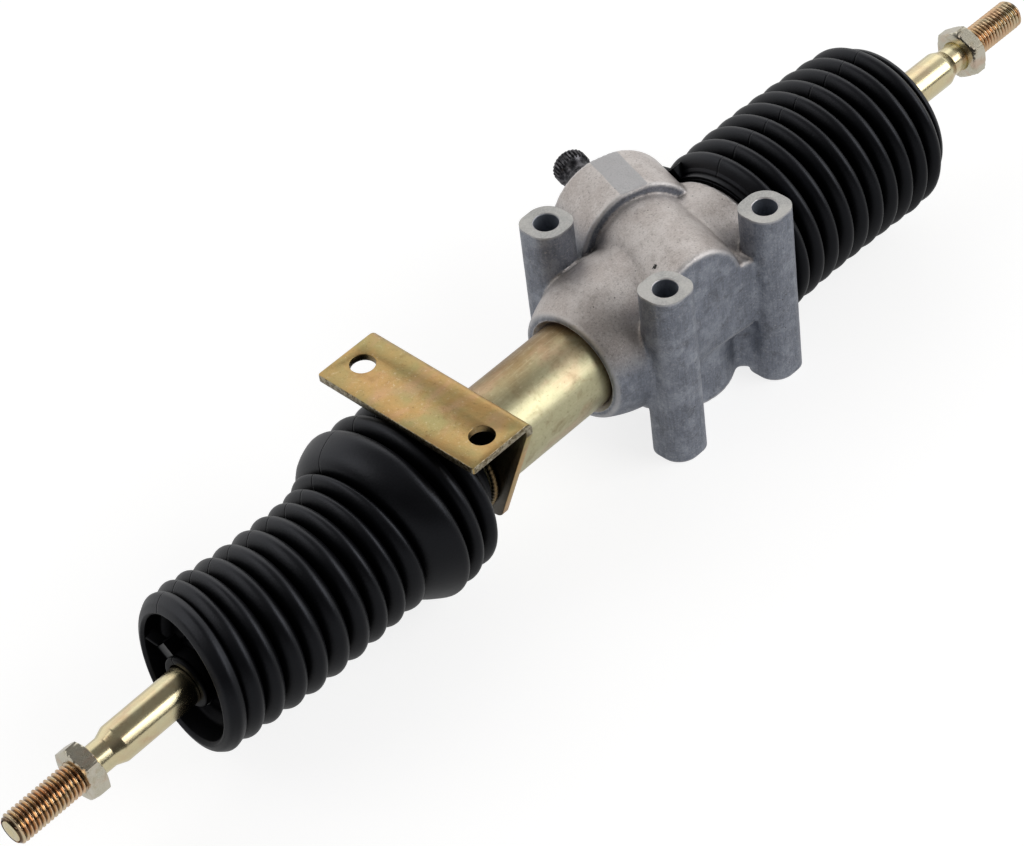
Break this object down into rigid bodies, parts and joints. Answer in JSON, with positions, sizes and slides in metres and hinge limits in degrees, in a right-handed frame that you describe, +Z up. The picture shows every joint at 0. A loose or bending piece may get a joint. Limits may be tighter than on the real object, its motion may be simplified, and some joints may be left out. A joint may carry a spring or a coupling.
{
  "type": "steering rack",
  "caption": "Manual rack and pinion steering unit: cast housing with bolt posts, plated tube with bracket, rubber boots, threaded tie rods with jam nuts and a splined input shaft.",
  "frame": {"origin": "mid-point between the feet of the two bolt posts on the tube side, on the plane of the feet", "axes": "+X along the rack, from the tube towards the boot on the housing; +Z up along the bolt posts; the input shaft points towards +Y"},
  "size_m": [0.5267, 0.1094, 0.0795],
  "materials": {
    "cast_aluminium": "raw die casting with machined post tops",
    "yellow_zinc": "yellow zinc plating",
    "pale_zinc": "pale zinc plating",
    "steel": "ground steel",
    "yoke_aluminium": "machined",
    "boot_rubber": "matte moulded rubber",
    "seal_rubber": "smooth rubber",
    "black_plastic": "moulded nylon",
    "white_plastic": "moulded acetal",
    "brass": "turned"
  },
  "bodies": {
    "housing": {"pinion_housing": "cast_aluminium", "rack_tube": "yellow_zinc", "mounting_bracket": "yellow_zinc", "bracket_weld": "yellow_zinc", "rack_bush": "white_plastic", "bush_retaining_ring": "steel", "rack_guide_yoke": "yoke_aluminium", "yoke_liner": "white_plastic", "yoke_spring": "steel", "yoke_plug": "pale_zinc", "yoke_seal_ring": "seal_rubber", "yoke_lock_ring": "pale_zinc", "lower_needle_bush": "steel", "bearing_outer_ring": "steel", "bearing_retaining_ring": "steel", "pinion_seal": "seal_rubber", "left_boot": "boot_rubber", "right_boot": "boot_rubber", "left_boot_inner_tie": "black_plastic", "right_boot_inner_tie": "black_plastic"},
    "rack": {"rack_bar": "steel", "left_ball_socket": "steel", "right_ball_socket": "steel", "left_tab_washer": "pale_zinc", "right_tab_washer": "pale_zinc"},
    "left_seat": {"left_ball_seat": "white_plastic"},
    "right_seat": {"right_ball_seat": "white_plastic"},
    "left_rod": {"left_tie_rod": "yellow_zinc", "left_jam_nut": "pale_zinc", "left_boot_outer_tie": "black_plastic"},
    "right_rod": {"right_tie_rod": "yellow_zinc", "right_jam_nut": "pale_zinc", "right_boot_outer_tie": "black_plastic"},
    "pinion": {"pinion_shaft": "steel", "bearing_inner_ring": "steel", "pinion_circlip": "steel"},
    "ball_set": {"bearing_balls": "steel", "bearing_cage": "brass"}
  },
  "joints": [
    {"name": "rack_slide", "type": "slide", "parent": "housing", "child": "rack", "axis": [1, 0, 0], "range_m": [-0.042, 0.042], "deforming": ["left_boot", "right_boot"]},
    {"name": "pinion_spin", "type": "hinge", "parent": "housing", "child": "pinion", "pos_m": [0.0285, 0.0012, 0.05445], "axis": [0.3246, 0.9426, -0.0785], "range_deg": [-326, 326]},
    {"name": "bearing_roll", "type": "hinge", "parent": "housing", "child": "ball_set", "pos_m": [0.0285, 0.0012, 0.05445], "axis": [0.3246, 0.9426, -0.0785], "range_deg": [-126, 126]},
    {"name": "left_rod_lift", "type": "hinge", "parent": "rack", "child": "left_seat", "pos_m": [-0.1885, 0, 0.04], "axis": [0, 1, 0], "range_deg": [-18.7, 21.3], "deforming": ["left_boot"]},
    {"name": "left_rod_swing", "type": "hinge", "parent": "left_seat", "child": "left_rod", "pos_m": [-0.1885, 0, 0.04], "axis": [0, 0, 1], "range_deg": [-20, 20], "deforming": ["left_boot"]},
    {"name": "right_rod_lift", "type": "hinge", "parent": "rack", "child": "right_seat", "pos_m": [0.132, 0, 0.04], "axis": [0, 1, 0], "range_deg": [-21.3, 18.7], "deforming": ["right_boot"]},
    {"name": "right_rod_swing", "type": "hinge", "parent": "right_seat", "child": "right_rod", "pos_m": [0.132, 0, 0.04], "axis": [0, 0, 1], "range_deg": [-20, 20], "deforming": ["right_boot"]}
  ],
  "couplings": [
    {"joint": "pinion_spin", "follows": "rack_slide", "rad_per_m": -135.12},
    {"joint": "bearing_roll", "follows": "rack_slide", "rad_per_m": -51.916}
  ]
}
